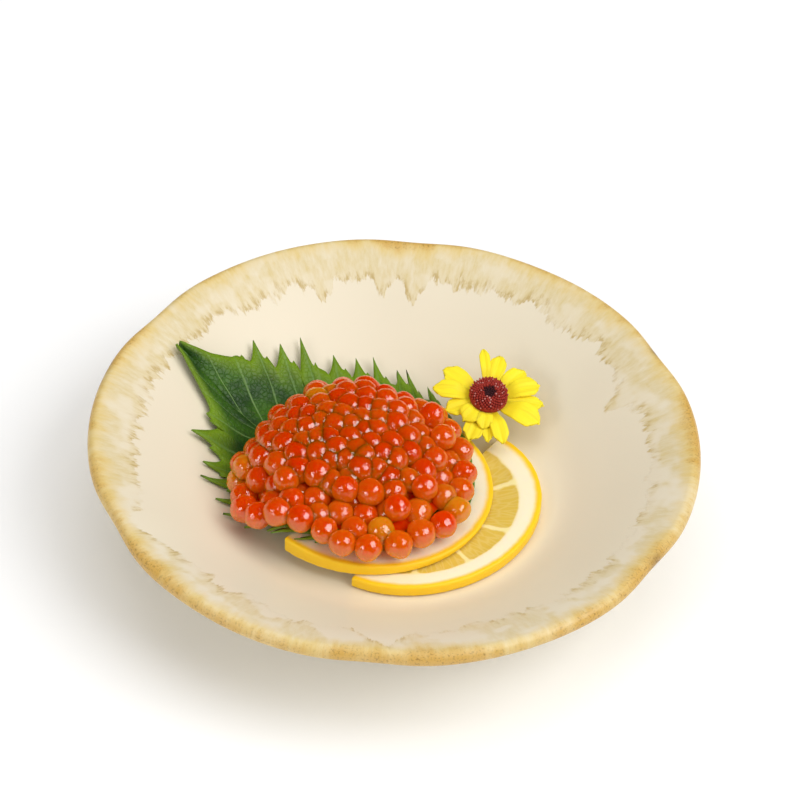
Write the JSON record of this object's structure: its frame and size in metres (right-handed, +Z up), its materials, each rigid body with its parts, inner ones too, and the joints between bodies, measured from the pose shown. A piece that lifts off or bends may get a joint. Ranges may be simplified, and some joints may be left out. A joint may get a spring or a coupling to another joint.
{
  "type": "salmon roe sashimi",
  "caption": "Loose heap of salmon roe on a toothed shiso leaf with lemon half slices and a yellow flower, served on a shallow lobed stoneware plate.",
  "frame": {"origin": "centre of the plate, on the surface that its foot ring stands on", "axes": "+Z up from the foot ring to the food, +X to the right and +Y away from the diner, so the tip of the leaf points to -X and +Y"},
  "size_m": [0.1548, 0.1534, 0.0356],
  "materials": {
    "cream_glaze": "semi-matte cream ash glaze, ochre toward the rim",
    "lemon": "moist cut lemon with waxy rind",
    "shiso_green": "fresh leaf, quilted and faintly glossy",
    "salmon_roe": "wet and translucent",
    "petal_yellow": "soft matte petal",
    "disc_maroon": "velvety florets",
    "calyx_green": "matte plant stem"
  },
  "bodies": {
    "root": {"plate": "cream_glaze", "lemon_slice_front": "lemon", "lemon_slice_back": "lemon", "shiso_leaf": "shiso_green", "salmon_roe": "salmon_roe", "flower_petals": "petal_yellow", "flower_disc": "disc_maroon", "flower_calyx": "calyx_green"}
  },
  "joints": []
}
